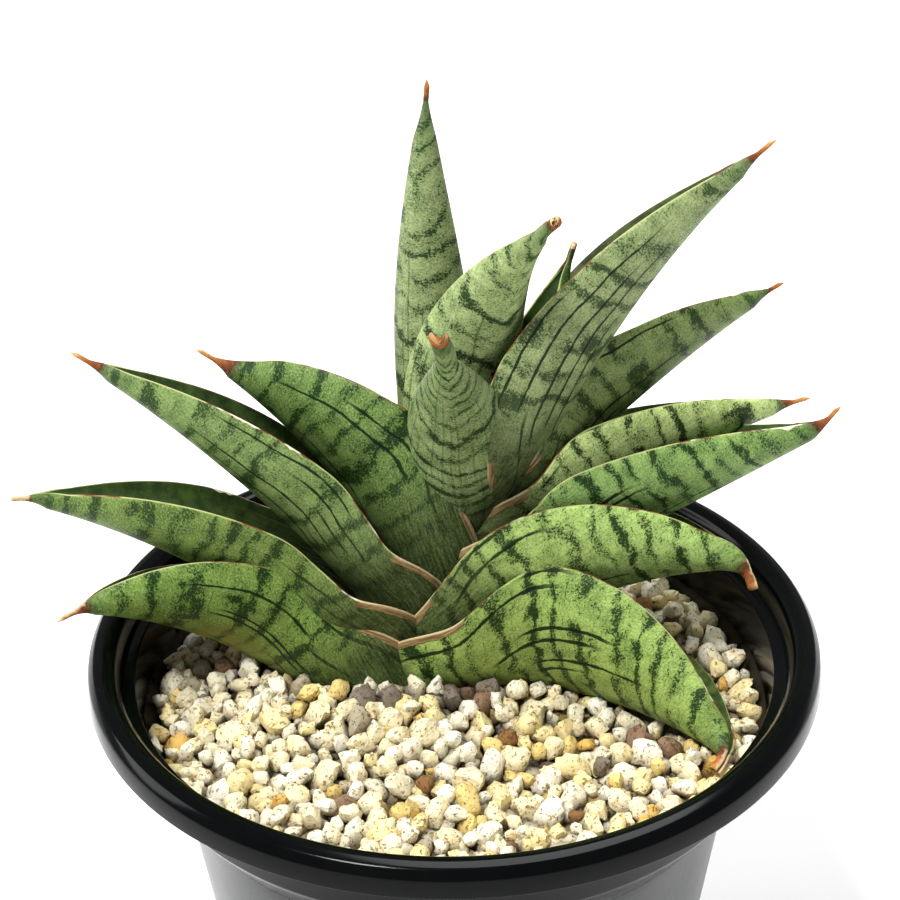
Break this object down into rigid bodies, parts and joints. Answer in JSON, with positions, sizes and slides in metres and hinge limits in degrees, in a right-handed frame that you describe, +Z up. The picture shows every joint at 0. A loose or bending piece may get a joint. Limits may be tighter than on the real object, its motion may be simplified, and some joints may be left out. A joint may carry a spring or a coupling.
{
  "type": "potted snake plant",
  "caption": "Snake plant with thick channelled leaves in two ranks on a leaning stem, set in pumice in a round plastic nursery pot with a rolled rim.",
  "frame": {"origin": "centre of the pot's underside, on the flat disc that it stands on", "axes": "+Z up along the pot's axis, +X to the right of the two ranks of leaves, -Y towards the side seen from the front"},
  "size_m": [0.1373, 0.12, 0.1849],
  "materials": {
    "pot_plastic": "glossy moulded black",
    "pumice": "rough porous cream with grey, brown and ochre grains",
    "stem_bark": "matt, with dry leaf sheaths",
    "leaf_green": "satin green with dark mottled bands, a pale margin and a dry tip",
    "young_leaf_green": "satin grey-green with dark mottled bands, a pale margin and a dry tip"
  },
  "bodies": {
    "root": {"pot": "pot_plastic", "pumice_bed": "pumice", "stem": "stem_bark", "leaf_01": "leaf_green", "leaf_02": "leaf_green", "leaf_03": "leaf_green", "leaf_04": "leaf_green", "leaf_05": "leaf_green", "leaf_06": "leaf_green", "leaf_07": "leaf_green", "leaf_08": "leaf_green", "leaf_09": "leaf_green", "leaf_10": "young_leaf_green", "leaf_11": "young_leaf_green", "leaf_12": "young_leaf_green", "leaf_13": "young_leaf_green", "leaf_14": "young_leaf_green"}
  },
  "joints": []
}
